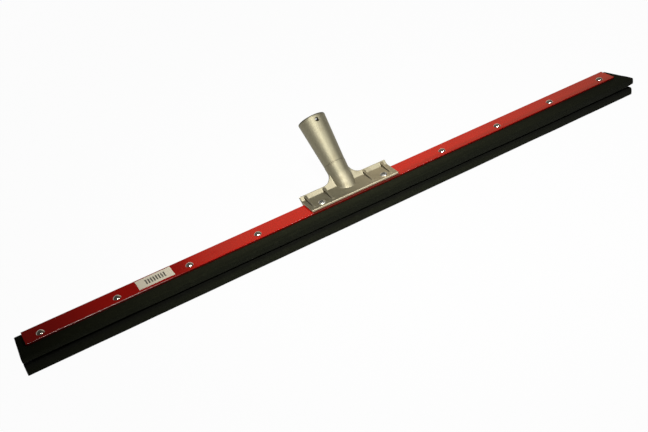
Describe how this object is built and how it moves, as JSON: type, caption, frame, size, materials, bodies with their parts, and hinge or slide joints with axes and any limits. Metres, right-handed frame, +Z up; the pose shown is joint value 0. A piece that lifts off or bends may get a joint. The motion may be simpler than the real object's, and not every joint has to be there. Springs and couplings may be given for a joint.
{
  "type": "floor squeegee head",
  "caption": "Straight floor squeegee head with two black sponge-rubber blades clamped between red steel plates and a cast aluminium handle socket.",
  "frame": {"origin": "underside of the lower clamp plate, on the line of the fasteners, below the middle of the bracket", "axes": "+X along the bar to the right, -Y towards the lips, +Z up through the plates"},
  "size_m": [0.92, 0.1318, 0.1169],
  "materials": {
    "red_paint": "gloss",
    "sponge_rubber": "matte",
    "black_filler": "matte",
    "cast_aluminium": "satin",
    "bright_steel": "polished",
    "label_paper": "matte"
  },
  "bodies": {
    "root": {"upper_clamp_plate": "red_paint", "lower_clamp_plate": "red_paint", "spacer_bar": "black_filler", "upper_foam_strip": "sponge_rubber", "lower_foam_strip": "sponge_rubber", "rivet_1": "bright_steel", "rivet_2": "bright_steel", "rivet_3": "bright_steel", "rivet_4": "bright_steel", "rivet_5": "bright_steel", "rivet_6": "bright_steel", "rivet_7": "bright_steel", "rivet_8": "bright_steel", "handle_bracket": "cast_aluminium", "left_bracket_screw": "bright_steel", "right_bracket_screw": "bright_steel", "left_barrel_nut": "bright_steel", "right_barrel_nut": "bright_steel", "plate_label": "label_paper"},
    "upper_lip": {"upper_foam_lip": "sponge_rubber"},
    "lower_lip": {"lower_foam_lip": "sponge_rubber"}
  },
  "joints": [
    {"name": "upper_lip_bend", "type": "hinge", "parent": "root", "child": "upper_lip", "pos_m": [0, -0.015, 0.02385], "axis": [1, 0, 0], "range_deg": [-30, 30], "stiffness_Nm_per_rad": 4},
    {"name": "lower_lip_bend", "type": "hinge", "parent": "root", "child": "lower_lip", "pos_m": [0, -0.015, 0.00795], "axis": [1, 0, 0], "range_deg": [-30, 30], "stiffness_Nm_per_rad": 4}
  ],
  "couplings": [
    {"joint": "lower_lip_bend", "follows": "upper_lip_bend", "ratio": 1}
  ]
}
